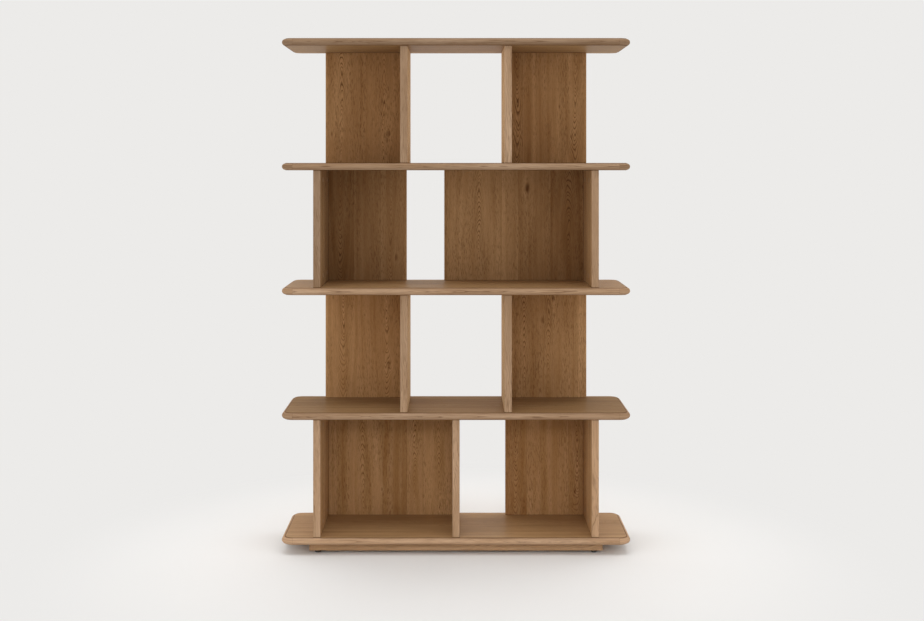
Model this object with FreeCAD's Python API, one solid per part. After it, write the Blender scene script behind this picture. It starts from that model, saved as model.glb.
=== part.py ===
import FreeCAD, Part
import math
import os
from collections import namedtuple

from FreeCAD import Placement, Rotation, Vector

# Open oak bookcase: five round-cornered shelves on four tiers of staggered uprights and back panels,
# standing on a recessed plinth. Millimetres. The origin is on the floor under the middle of the
# shelves, +X runs to the right as seen from the front, +Y to the rear and +Z up.

# Shelves, each a flat board with a solid rounded lipping round it
SHELF_LENGTH = 1200.0
SHELF_DEPTH = 360.0
SHELF_THICKNESS = 25.0
SHELF_CORNER_RADIUS = 40.0
LIPPING_WIDTH = 12.0
EDGE_GROOVE = 1.2

# Tiers, the open heights between the shelves
TIER_CLEAR_HEIGHT = 403.0

# Uprights
UPRIGHT_THICKNESS = 25.0
UPRIGHT_FRONT_REVEAL = 1.0
UPRIGHT_REAR_SETBACK = 20.0
UPRIGHT_EDGE_RADIUS = 3.0
SIDE_OVERHANG = 110.0
DIVIDER_CLEAR_WIDTH = 333.0

# Back panels
PANEL_THICKNESS = 25.0
PANEL_END_RADIUS = 10.0
WING_OVERHANG = 123.5
NARROW_PANEL_WIDTH = 285.0
BACK_GAP_WIDTH = 137.0

# Plinth and the glides under it
PLINTH_END_SETBACK = 94.0
PLINTH_SETBACK = 40.0
PLINTH_HEIGHT = 27.0
RAIL_THICKNESS = 25.0
RAIL_EDGE_RADIUS = 3.0
GLIDE_HEIGHT = 8.0
GLIDE_DIAMETER = 22.0
GLIDE_EDGE = 2.0
GLIDE_INSET = 28.5
GLIDE_STEM_DIAMETER = 6.0
GLIDE_STEM_LENGTH = 12.0

# Wooden dowels
DOWEL_DIAMETER = 8.0
DOWEL_LENGTH = 35.0
DOWEL_CHAMFER = 1.0
DOWEL_FIT = 0.05
DOWEL_END_ROOM = 1.0
DOWEL_FACE_BITE = 12.0
DOWEL_INSET = 45.0
DOWEL_RISE = 80.0
DOWEL_PITCH = 200.0
SHELF_WEB = 3.0

# Turning-cam connectors between uprights and shelves
CAM_DIAMETER = 15.0
CAM_FIT = 0.05
CAM_FROM_END = 34.0
CAM_PAST_BOLT = 5.0
CAM_INSET = 90.0
CAM_POCKET_DIAMETER = 10.0
CAM_POCKET_WIDTH = 8.4
CAM_SLOT_WIDTH = 5.8
CAM_DRIVE_LENGTH = 8.0
CAM_DRIVE_WIDTH = 1.4
CAM_DRIVE_DEPTH = 2.5
BOLT_THREAD_DIAMETER = 6.0
BOLT_COLLAR_DIAMETER = 7.6
BOLT_COLLAR_HEIGHT = 1.5
BOLT_SHANK_DIAMETER = 5.0
BOLT_HEAD_DIAMETER = 7.2
BOLT_HEAD_HEIGHT = 5.0
BOLT_BORE_DIAMETER = 8.0
CAP_DIAMETER = 17.0
CAP_HEIGHT = 1.0
CAP_RECESS = 1.0
CAP_SPIGOT_LENGTH = 0.8
CAP_EDGE = 0.5

# Plinth fixings
PLINTH_SCREW_DIAMETER = 4.5
PLINTH_SCREW_FIT = 0.25
PLINTH_SCREW_HEAD_DIAMETER = 9.0
PLINTH_SCREW_HEAD_HEIGHT = 3.0
PLINTH_SCREW_SINK_DIAMETER = 11.0
PLINTH_SCREW_SINK = 7.0
PLINTH_SCREW_END_INSET = 130.0
PLINTH_SCREW_MIDDLE_OFFSET = 130.0
PLINTH_DOWEL_SPACING = 12.0

SHELVES = ("top_shelf", "upper_shelf", "middle_shelf", "lower_shelf", "bottom_shelf")
BOTTOM_SHELF = SHELVES[-1]
TIERS = range(1, len(SHELVES))
LEFT = -1
RIGHT = 1
UP = Vector(0, 0, 1)
DOWN = Vector(0, 0, -1)

SHELF_FRONT = -SHELF_DEPTH / 2
SHELF_REAR = SHELF_DEPTH / 2
BASE_HEIGHT = GLIDE_HEIGHT + PLINTH_HEIGHT
UPRIGHT_FRONT = SHELF_FRONT + LIPPING_WIDTH + UPRIGHT_FRONT_REVEAL
UPRIGHT_REAR = SHELF_REAR - UPRIGHT_REAR_SETBACK
PANEL_FRONT = UPRIGHT_REAR - PANEL_THICKNESS
PANEL_MIDDLE = UPRIGHT_REAR - PANEL_THICKNESS / 2
SIDE_CLEAR_WIDTH = SHELF_LENGTH - 2 * (SIDE_OVERHANG + UPRIGHT_THICKNESS)
SIDE_X = (SIDE_CLEAR_WIDTH + UPRIGHT_THICKNESS) / 2
DIVIDER_X = (DIVIDER_CLEAR_WIDTH + UPRIGHT_THICKNESS) / 2
DIVIDER_OUTER = DIVIDER_X + UPRIGHT_THICKNESS / 2
SIDE_INNER = SIDE_CLEAR_WIDTH / 2
WING_END = SHELF_LENGTH / 2 - WING_OVERHANG
PLINTH_LENGTH = SHELF_LENGTH - 2 * PLINTH_END_SETBACK
RAIL_FRONT = SHELF_FRONT + PLINTH_SETBACK
RAIL_MIDDLE = RAIL_FRONT + RAIL_THICKNESS / 2
SHELF_BITE = (SHELF_THICKNESS - SHELF_WEB) / 2
CAM_BORE_DEPTH = UPRIGHT_THICKNESS / 2 + CAM_PAST_BOLT

# An upright: its tier, its centre line, and the faces that hold the cams and meet the back panel
Upright = namedtuple("Upright", "name tier x cam_face panel_face")
# A back panel: its tier, its two ends, and the upright at each end or None where the end is free
Panel = namedtuple("Panel", "name tier low high left_upright right_upright")
# A dowel across the joint at point, going way from the near board into the far one
Dowel = namedtuple("Dowel", "group point way near near_depth far far_depth")
# A cam connector: its bolt stands at point in a shelf and goes way into an upright
Connector = namedtuple("Connector", "group point way shelf upright face")


def shelf_bottom(number):
    """Height of the underside of shelf number, counted from 1 at the top."""
    below = len(SHELVES) - number
    return BASE_HEIGHT + below * (SHELF_THICKNESS + TIER_CLEAR_HEIGHT)


def tier_floor(tier):
    """Height of the surface that the tier stands on."""
    return shelf_bottom(tier + 1) + SHELF_THICKNESS


def list_uprights():
    uprights = []
    for tier in TIERS:
        if tier % 2:
            for word, side in (("left", LEFT), ("right", RIGHT)):
                name = f"tier_{tier}_{word}_divider"
                uprights.append(Upright(name, tier, side * DIVIDER_X, side, side))
        else:
            for word, side in (("left", LEFT), ("right", RIGHT)):
                name = f"tier_{tier}_{word}_side"
                uprights.append(Upright(name, tier, side * SIDE_X, -side, -side))
    uprights.append(Upright("tier_4_middle_divider", 4, 0.0, LEFT, LEFT))
    return uprights


def list_panels():
    panels = []
    for tier in (1, 3):
        left = f"tier_{tier}_left_divider"
        right = f"tier_{tier}_right_divider"
        panels.append(Panel(f"tier_{tier}_left_back", tier, -WING_END, -DIVIDER_OUTER, None, left))
        panels.append(Panel(f"tier_{tier}_right_back", tier, DIVIDER_OUTER, WING_END, right, None))
    narrow_end = SIDE_INNER - NARROW_PANEL_WIDTH
    wide_end = BACK_GAP_WIDTH - narrow_end
    middle_face = -UPRIGHT_THICKNESS / 2
    middle = "tier_4_middle_divider"
    panels.append(Panel("tier_2_left_back", 2, -SIDE_INNER, -narrow_end, "tier_2_left_side", None))
    panels.append(Panel("tier_2_right_back", 2, wide_end, SIDE_INNER, None, "tier_2_right_side"))
    panels.append(Panel("tier_4_left_back", 4, -SIDE_INNER, middle_face, "tier_4_left_side", middle))
    panels.append(Panel("tier_4_right_back", 4, narrow_end, SIDE_INNER, None, "tier_4_right_side"))
    return panels


def spread(low, high):
    """Evenly spaced places from low to high, no further apart than the dowel pitch."""
    steps = max(1, math.ceil((high - low) / DOWEL_PITCH))
    return [low + (high - low) * step / steps for step in range(steps + 1)]


def tier_ends(tier):
    """The two joints of a tier's boards: height, way into the board and shelf."""
    floor = tier_floor(tier)
    return (
        (floor, UP, SHELVES[tier]),
        (floor + TIER_CLEAR_HEIGHT, DOWN, SHELVES[tier - 1]),
    )


def list_dowels(uprights, panels):
    dowels = []
    into_board = DOWEL_LENGTH - SHELF_BITE
    for upright in uprights:
        group = f"tier_{upright.tier}_dowels"
        for height, way, shelf in tier_ends(upright.tier):
            for y in (UPRIGHT_FRONT + DOWEL_INSET, UPRIGHT_REAR - DOWEL_INSET):
                point = Vector(upright.x, y, height)
                dowels.append(Dowel(group, point, way, shelf, SHELF_BITE, upright.name, into_board))
    for panel in panels:
        group = f"tier_{panel.tier}_dowels"
        for height, way, shelf in tier_ends(panel.tier):
            for x in spread(panel.low + DOWEL_INSET, panel.high - DOWEL_INSET):
                point = Vector(x, PANEL_MIDDLE, height)
                dowels.append(Dowel(group, point, way, shelf, SHELF_BITE, panel.name, into_board))
        floor = tier_floor(panel.tier)
        heights = spread(floor + DOWEL_RISE, floor + TIER_CLEAR_HEIGHT - DOWEL_RISE)
        ends = (
            (panel.left_upright, panel.low, Vector(1, 0, 0)),
            (panel.right_upright, panel.high, Vector(-1, 0, 0)),
        )
        for upright, x, way in ends:
            if upright is None:
                continue
            for height in heights:
                point = Vector(x, PANEL_MIDDLE, height)
                into_panel = DOWEL_LENGTH - DOWEL_FACE_BITE
                dowels.append(Dowel(group, point, way, upright, DOWEL_FACE_BITE, panel.name, into_panel))
    return dowels + list_plinth_dowels()


def cross_rails():
    """Centre lines of the plinth's cross rails."""
    end = (PLINTH_LENGTH - RAIL_THICKNESS) / 2
    return (("plinth_left_rail", -end), ("plinth_middle_rail", 0.0), ("plinth_right_rail", end))


def list_plinth_dowels():
    dowels = []
    joint = RAIL_FRONT + RAIL_THICKNESS
    middle_height = GLIDE_HEIGHT + PLINTH_HEIGHT / 2
    into_rail = DOWEL_LENGTH - DOWEL_FACE_BITE
    for name, x in cross_rails():
        for side in (LEFT, RIGHT):
            height = middle_height + side * PLINTH_DOWEL_SPACING / 2
            for long_rail, y, way in (
                ("plinth_front_rail", joint, Vector(0, 1, 0)),
                ("plinth_rear_rail", -joint, Vector(0, -1, 0)),
            ):
                point = Vector(x, y, height)
                dowels.append(
                    Dowel("plinth_dowels", point, way, long_rail, DOWEL_FACE_BITE, name, into_rail)
                )
    return dowels


def list_connectors(uprights):
    connectors = []
    for upright in uprights:
        for height, way, shelf in tier_ends(upright.tier):
            for y in (UPRIGHT_FRONT + CAM_INSET, UPRIGHT_REAR - CAM_INSET):
                point = Vector(upright.x, y, height)
                group = f"tier_{upright.tier}"
                connectors.append(Connector(group, point, way, shelf, upright.name, upright.cam_face))
    return connectors


def plinth_screw_places():
    """Places of the screws that hold the bottom shelf, at the underside of the long rails."""
    end = PLINTH_LENGTH / 2 - PLINTH_SCREW_END_INSET
    middle = PLINTH_SCREW_MIDDLE_OFFSET
    return under_long_rails((-end, -middle, middle, end))


def glide_places():
    """Places of the glides at the underside of the plinth: near its ends, and one in the middle."""
    end = PLINTH_LENGTH / 2 - GLIDE_INSET
    return under_long_rails((-end, end)) + [Vector(0, 0, GLIDE_HEIGHT)]


def under_long_rails(places_along):
    """Points at the underside of both long rails, on their centre lines."""
    return [Vector(x, y, GLIDE_HEIGHT) for x in places_along for y in (RAIL_MIDDLE, -RAIL_MIDDLE)]


def rounded_plan(x_low, x_high, y_low, y_high, radii):
    """A flat face at height 0, with radii for its corners: front left and right, rear right and left."""
    corners = [
        Vector(x_low, y_low, 0),
        Vector(x_high, y_low, 0),
        Vector(x_high, y_high, 0),
        Vector(x_low, y_high, 0),
    ]
    starts, ends, edges = [], [], []
    for index, (corner, radius) in enumerate(zip(corners, radii)):
        back = (corners[index - 1] - corner).normalize() * radius
        ahead = (corners[(index + 1) % 4] - corner).normalize() * radius
        starts.append(corner + back)
        ends.append(corner + ahead)
        if radius:
            bulge = corner + (back + ahead) * (1 - math.sqrt(0.5))
            edges.append(Part.Arc(starts[-1], bulge, ends[-1]).toShape())
    for index in range(4):
        edges.append(Part.LineSegment(ends[index], starts[(index + 1) % 4]).toShape())
    return Part.Face(Part.Wire(Part.__sortEdges__(edges)))


def slab(face, low, height):
    """A flat face raised to a height and thickened upwards."""
    return face.translated(Vector(0, 0, low)).extrude(Vector(0, 0, height))


def turned(points):
    """A round solid from the outline of half its section, as pairs of radius and height."""
    outline = [Vector(radius, 0, height) for radius, height in points]
    face = Part.Face(Part.makePolygon(outline + outline[:1]))
    return face.revolve(Vector(0, 0, 0), UP, 360)


def placed(shape, point, way):
    """A copy of a shape made along +Z, moved to a point and turned to go the given way."""
    copy = shape.copy()
    copy.Placement = Placement(point, Rotation(UP, way))
    return copy


def bore(point, way, diameter, depth):
    return Part.makeCylinder(diameter / 2, depth, point, way)


def dowel_bores(dowels, name):
    """The holes that the dowels need in one board."""
    bores = []
    diameter = DOWEL_DIAMETER + 2 * DOWEL_FIT
    for dowel in dowels:
        if dowel.near == name:
            bores.append(bore(dowel.point, dowel.way * -1, diameter, dowel.near_depth))
        if dowel.far == name:
            bores.append(bore(dowel.point, dowel.way, diameter, dowel.far_depth + DOWEL_END_ROOM))
    return bores


def connector_bores(connectors, name):
    """The holes that the cam connectors need in one board."""
    bores = []
    for connector in connectors:
        if connector.shelf == name:
            bores.append(bore(connector.point, connector.way * -1, BOLT_THREAD_DIAMETER, SHELF_BITE))
        if connector.upright == name:
            bores.append(bore(connector.point, connector.way, BOLT_BORE_DIAMETER, CAM_FROM_END))
            inward = Vector(-connector.face, 0, 0)
            bores.append(bore(cam_face_point(connector), inward, CAM_DIAMETER + 2 * CAM_FIT, CAM_BORE_DEPTH))
    return bores


def cam_face_point(connector):
    """The middle of a cam on the face that it is set into."""
    out = Vector(connector.face * UPRIGHT_THICKNESS / 2, 0, 0)
    return connector.point + connector.way * CAM_FROM_END + out


def drilled(board, bores):
    return board.cut(bores) if bores else board


def make_shelf_board(number, bores):
    inset = LIPPING_WIDTH
    radius = SHELF_CORNER_RADIUS - inset
    half_length = SHELF_LENGTH / 2 - inset
    face = rounded_plan(-half_length, half_length, SHELF_FRONT + inset, SHELF_REAR - inset, [radius] * 4)
    return drilled(slab(face, shelf_bottom(number), SHELF_THICKNESS), bores)


def lipping_section(joint, middle):
    """Half-elliptical section of the lipping in the XZ plane, from the joint out along +X."""
    half_height = SHELF_THICKNESS / 2 - EDGE_GROOVE
    centre = Vector(joint, 0, middle)
    top = centre + UP * half_height
    bottom = centre - UP * half_height
    tip = centre + Vector(LIPPING_WIDTH, 0, 0)
    if LIPPING_WIDTH > half_height:
        ellipse = Part.Ellipse(tip, top, centre)
    else:
        ellipse = Part.Ellipse(top, tip, centre)
    nose = []
    for start, end in ((bottom, tip), (tip, top)):
        first = ellipse.parameter(start)
        last = ellipse.parameter(end)
        arc = Part.ArcOfEllipse(ellipse, first, last)
        if arc.length() > half_height + LIPPING_WIDTH:
            arc = Part.ArcOfEllipse(ellipse, last, first)
        nose.append(arc.toShape())
    nose.append(Part.LineSegment(top, bottom).toShape())
    return Part.Face(Part.Wire(Part.__sortEdges__(nose)))


def make_lipping(number):
    """The lipping of one shelf: a front and a rear strip and two ends that take in the round corners."""
    middle = shelf_bottom(number) + SHELF_THICKNESS / 2
    section = lipping_section(SHELF_CORNER_RADIUS - LIPPING_WIDTH, middle)
    straight_x = SHELF_LENGTH / 2 - SHELF_CORNER_RADIUS
    straight_y = SHELF_DEPTH / 2 - SHELF_CORNER_RADIUS
    origin = Vector(0, 0, 0)
    corner = section.revolve(origin, UP, 90)
    side_run = section.extrude(Vector(0, -2 * straight_y, 0))
    front_corner = corner.copy()
    front_corner.rotate(origin, UP, -90)
    end = corner.fuse([side_run, front_corner.translated(Vector(0, -2 * straight_y, 0))])
    end = end.removeSplitter().translated(Vector(straight_x, straight_y, 0))
    left_end = end.copy()
    left_end.rotate(origin, UP, 180)
    strip = section.extrude(Vector(0, 2 * straight_x, 0))
    strip.rotate(origin, UP, 90)
    rear_strip = strip.translated(Vector(straight_x, straight_y, 0))
    front_strip = rear_strip.copy()
    front_strip.rotate(origin, UP, 180)
    return [front_strip, rear_strip, left_end, end]


def make_upright(upright, bores):
    radius = UPRIGHT_EDGE_RADIUS
    half = UPRIGHT_THICKNESS / 2
    rear_radii = (0, radius) if upright.panel_face == RIGHT else (radius, 0)
    radii = (radius, radius, *rear_radii)
    face = rounded_plan(upright.x - half, upright.x + half, UPRIGHT_FRONT, UPRIGHT_REAR, radii)
    return drilled(slab(face, tier_floor(upright.tier), TIER_CLEAR_HEIGHT), bores)


def make_panel(panel, bores):
    left = 0 if panel.left_upright else PANEL_END_RADIUS
    right = 0 if panel.right_upright else PANEL_END_RADIUS
    face = rounded_plan(panel.low, panel.high, PANEL_FRONT, UPRIGHT_REAR, (left, right, right, left))
    return drilled(slab(face, tier_floor(panel.tier), TIER_CLEAR_HEIGHT), bores)


def make_long_rail(side, bores):
    """The front rail for side -1 or the rear rail for side 1, with its outer corners eased."""
    half = PLINTH_LENGTH / 2
    radius = RAIL_EDGE_RADIUS
    if side < 0:
        face = rounded_plan(-half, half, RAIL_FRONT, RAIL_FRONT + RAIL_THICKNESS, (radius, radius, 0, 0))
    else:
        face = rounded_plan(-half, half, -RAIL_FRONT - RAIL_THICKNESS, -RAIL_FRONT, (0, 0, radius, radius))
    return drilled(slab(face, GLIDE_HEIGHT, PLINTH_HEIGHT), bores)


def make_cross_rail(x, bores):
    half = RAIL_THICKNESS / 2
    reach = -RAIL_FRONT - RAIL_THICKNESS
    face = rounded_plan(x - half, x + half, -reach, reach, (0, 0, 0, 0))
    return drilled(slab(face, GLIDE_HEIGHT, PLINTH_HEIGHT), bores)


def glide_bores(low_y, high_y):
    """The holes for the stems of the glides between two depths."""
    places = [place for place in glide_places() if low_y < place.y < high_y]
    return [bore(place, UP, GLIDE_STEM_DIAMETER, GLIDE_STEM_LENGTH) for place in places]


def rail_screw_bores(low_y, high_y):
    """The holes and sunk seats for the plinth screws between two depths."""
    bores = []
    for place in plinth_screw_places():
        if low_y < place.y < high_y:
            bores.append(bore(place, UP, PLINTH_SCREW_DIAMETER + 2 * PLINTH_SCREW_FIT, PLINTH_HEIGHT))
            bores.append(bore(place, UP, PLINTH_SCREW_SINK_DIAMETER, PLINTH_SCREW_SINK))
    return bores


def make_dowel(dowel):
    length = dowel.near_depth + dowel.far_depth
    radius = DOWEL_DIAMETER / 2
    neck = radius - DOWEL_CHAMFER
    outline = (
        (0, 0),
        (neck, 0),
        (radius, DOWEL_CHAMFER),
        (radius, length - DOWEL_CHAMFER),
        (neck, length),
        (0, length),
    )
    return placed(turned(outline), dowel.point - dowel.way * dowel.near_depth, dowel.way)


def bolt_form():
    """A connector bolt along +Z: height 0 is the shelf's face, and the head sits in the cam."""
    thread = BOLT_THREAD_DIAMETER / 2
    collar = BOLT_COLLAR_DIAMETER / 2
    shank = BOLT_SHANK_DIAMETER / 2
    head = BOLT_HEAD_DIAMETER / 2
    head_low = CAM_FROM_END - BOLT_HEAD_HEIGHT / 2
    head_high = CAM_FROM_END + BOLT_HEAD_HEIGHT / 2
    bevel = head - shank
    return turned(
        (
            (0, -SHELF_BITE),
            (thread - bevel, -SHELF_BITE),
            (thread, -SHELF_BITE + bevel),
            (thread, 0),
            (collar, 0),
            (collar, BOLT_COLLAR_HEIGHT),
            (shank, BOLT_COLLAR_HEIGHT),
            (shank, head_low),
            (head, head_low + bevel),
            (head, head_high - bevel),
            (shank, head_high),
            (0, head_high),
        )
    )


def cam_form():
    """A cam along +X from the face of its board, hooked on a bolt that comes from -Z."""
    radius = CAM_DIAMETER / 2
    bolt_line = UPRIGHT_THICKNESS / 2
    along = Vector(1, 0, 0)
    drum = Part.makeCylinder(radius, CAM_BORE_DEPTH - CAP_RECESS, Vector(CAP_RECESS, 0, 0), along)
    pocket_start = Vector(bolt_line - CAM_POCKET_WIDTH / 2, 0, 0)
    pocket = Part.makeCylinder(CAM_POCKET_DIAMETER / 2, CAM_POCKET_WIDTH, pocket_start, along)
    half_slot = CAM_SLOT_WIDTH / 2
    hook_corner = Vector(bolt_line - half_slot, -radius, -radius)
    hook_slot = Part.makeBox(CAM_SLOT_WIDTH, radius + half_slot, radius, hook_corner)
    entry = Part.makeCylinder(CAM_POCKET_WIDTH / 2, radius, Vector(bolt_line, 0, 0), Vector(0, -1, 0))
    cuts = [pocket, hook_slot, entry]
    half_length = CAM_DRIVE_LENGTH / 2
    half_width = CAM_DRIVE_WIDTH / 2
    for half_y, half_z in ((half_length, half_width), (half_width, half_length)):
        corner = Vector(CAP_RECESS, -half_y, -half_z)
        cuts.append(Part.makeBox(CAM_DRIVE_DEPTH, 2 * half_y, 2 * half_z, corner))
    return drum.cut(cuts)


def make_cam(form, connector):
    cam = form.copy()
    turn_over = Rotation(Vector(1, 0, 0), 0 if connector.way.z > 0 else 180)
    turn_round = Rotation(UP, 180 if connector.face == RIGHT else 0)
    cam.Placement = Placement(cam_face_point(connector), turn_round.multiply(turn_over))
    return cam


def cap_form():
    """A cover cap along +Z, with height 0 on the board's face."""
    rim = CAP_DIAMETER / 2
    spigot = CAM_DIAMETER / 2
    return turned(
        (
            (0, -CAP_SPIGOT_LENGTH),
            (spigot, -CAP_SPIGOT_LENGTH),
            (spigot, 0),
            (rim, 0),
            (rim, CAP_HEIGHT - CAP_EDGE),
            (rim - CAP_EDGE, CAP_HEIGHT),
            (0, CAP_HEIGHT),
        )
    )


def screw_form():
    """A plinth screw along +Z: height 0 is the underside of the rail."""
    head = PLINTH_SCREW_HEAD_DIAMETER / 2
    shank = PLINTH_SCREW_DIAMETER / 2
    seat = PLINTH_SCREW_SINK
    tip = PLINTH_HEIGHT + SHELF_BITE
    return turned(
        (
            (0, seat - PLINTH_SCREW_HEAD_HEIGHT),
            (head, seat - PLINTH_SCREW_HEAD_HEIGHT),
            (head, seat),
            (shank, seat),
            (shank, tip - shank),
            (0, tip),
        )
    )


def glide_form():
    """A floor glide along +Z: height 0 is the underside of the rail, and the foot hangs below it."""
    foot = GLIDE_DIAMETER / 2
    stem = GLIDE_STEM_DIAMETER / 2
    return turned(
        (
            (0, -GLIDE_HEIGHT),
            (foot - GLIDE_EDGE, -GLIDE_HEIGHT),
            (foot, -GLIDE_HEIGHT + GLIDE_EDGE),
            (foot, 0),
            (stem, 0),
            (stem, GLIDE_STEM_LENGTH),
            (0, GLIDE_STEM_LENGTH),
        )
    )


def bottom_shelf_screw_bores():
    lift = Vector(0, 0, PLINTH_HEIGHT)
    return [bore(place + lift, UP, PLINTH_SCREW_DIAMETER, SHELF_BITE) for place in plinth_screw_places()]


def make_boards(uprights, panels, dowels, connectors):
    parts = {}
    for number, name in enumerate(SHELVES, start=1):
        bores = dowel_bores(dowels, name) + connector_bores(connectors, name)
        if name == BOTTOM_SHELF:
            bores += bottom_shelf_screw_bores()
        parts[name] = [make_shelf_board(number, bores)]
        parts[f"{name}_edge"] = make_lipping(number)
    for upright in uprights:
        bores = dowel_bores(dowels, upright.name) + connector_bores(connectors, upright.name)
        parts[upright.name] = [make_upright(upright, bores)]
    for panel in panels:
        parts[panel.name] = [make_panel(panel, dowel_bores(dowels, panel.name))]
    return parts


def make_plinth(dowels):
    parts = {}
    inner = -RAIL_FRONT - RAIL_THICKNESS
    for name, side, low, high in (
        ("plinth_front_rail", LEFT, RAIL_FRONT, -inner),
        ("plinth_rear_rail", RIGHT, inner, -RAIL_FRONT),
    ):
        bores = dowel_bores(dowels, name) + glide_bores(low, high) + rail_screw_bores(low, high)
        parts[name] = [make_long_rail(side, bores)]
    for name, x in cross_rails():
        bores = dowel_bores(dowels, name)
        if x == 0:
            bores += glide_bores(-inner, inner)
        parts[name] = [make_cross_rail(x, bores)]
    parts["plinth_screws"] = [placed(screw_form(), place, UP) for place in plinth_screw_places()]
    parts["floor_glides"] = [placed(glide_form(), place, UP) for place in glide_places()]
    return parts


def make_fixings(dowels, connectors):
    parts = {}
    for dowel in dowels:
        parts.setdefault(dowel.group, []).append(make_dowel(dowel))
    bolt = bolt_form()
    cam = cam_form()
    cap = cap_form()
    for connector in connectors:
        out = Vector(connector.face, 0, 0)
        bolts = parts.setdefault(f"{connector.group}_cam_bolts", [])
        bolts.append(placed(bolt, connector.point, connector.way))
        parts.setdefault(f"{connector.group}_cams", []).append(make_cam(cam, connector))
        caps = parts.setdefault(f"{connector.group}_cam_caps", [])
        caps.append(placed(cap, cam_face_point(connector), out))
    return parts


def main():
    uprights = list_uprights()
    panels = list_panels()
    dowels = list_dowels(uprights, panels)
    connectors = list_connectors(uprights)
    parts = make_boards(uprights, panels, dowels, connectors)
    parts.update(make_plinth(dowels))
    parts.update(make_fixings(dowels, connectors))
    os.makedirs("parts", exist_ok=True)
    for name, solids in parts.items():
        shape = solids[0] if len(solids) == 1 else Part.makeCompound(solids)
        shape.exportStep(f"parts/{name}.step")
        print(name, len(shape.Solids), "solids", round(shape.Volume), "mm3", "valid", shape.isValid())


main()
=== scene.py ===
import math
from collections import namedtuple

import bpy
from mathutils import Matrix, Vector


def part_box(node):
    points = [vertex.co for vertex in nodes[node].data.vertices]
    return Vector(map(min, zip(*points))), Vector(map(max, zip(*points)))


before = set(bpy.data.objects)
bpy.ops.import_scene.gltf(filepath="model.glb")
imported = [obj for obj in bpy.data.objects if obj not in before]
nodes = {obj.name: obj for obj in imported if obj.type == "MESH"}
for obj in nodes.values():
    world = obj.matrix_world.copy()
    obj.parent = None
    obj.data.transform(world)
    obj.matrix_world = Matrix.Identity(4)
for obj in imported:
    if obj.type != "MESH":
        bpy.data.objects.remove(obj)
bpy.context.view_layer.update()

# Looks of the open oak bookcase: every board and fitting keeps its CAD shape and gets its own finish.
# Metres, in the frame of the imported model.

# A place far off every board, for a glue line, a heart or a seam shade that a board doesn't have
NOWHERE = 9.0
# The most staves that a board is glued up from
MOST_STAVES = 4

# One knot: its place across and along the grain, the size of its eye and how dark the eye is
Knot = namedtuple("Knot", "across along size dark")
# The figure of one board across and along its grain: the glue lines between its staves and how dark they
# are, the tone of each stave, partly painted light and shade, the line in each stave where the rings stand
# flat and draw arches, how far below the face the heart of the tree lies, how fast that depth changes along
# the grain, and the knots
Figure = namedtuple("Figure", "joints glue tones hearts depth taper knots", defaults=((),))
# The oak of one kind of board: its light and dark colours, how strongly its figure and its pores show, how
# long the pores are drawn out, and the roughness and gloss of its oil
Oak = namedtuple("Oak", "light dark figure pores stretch roughness gloss")
# One upright: the line of the arches on its faces, and how light its faces and its edges are beside the
# others', set partly as painted light and shade
Upright = namedtuple("Upright", "heart faces banding")
# One shelf: the line of its arches, how light its board and its lipping are beside the others', partly
# as painted light and shade, and the board's gloss
Shelf = namedtuple("Shelf", "heart board lipping gloss")
# The fine relief of a surface: its depth and how strongly it shows
Relief = namedtuple("Relief", "depth strength")
# A material being made: the material, its node tree, its shader and the place on the piece
Making = namedtuple("Making", "material build shader position")
# One softbox: where it stands, what it faces, its width and height, its power in watts, how far its light
# spreads in degrees, and whether the boards mirror it
Softbox = namedtuple("Softbox", "place target width height power spread mirrored", defaults=(180.0, True))


def paint(red, green, blue):
    """A colour written as it looks on a screen, 0 to 255, as the linear values that nodes take."""
    levels = []
    for level in (red, green, blue):
        share = level / 255
        levels.append(share / 12.92 if share <= 0.04045 else ((share + 0.055) / 1.055) ** 2.4)
    return (*levels, 1.0)


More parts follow.
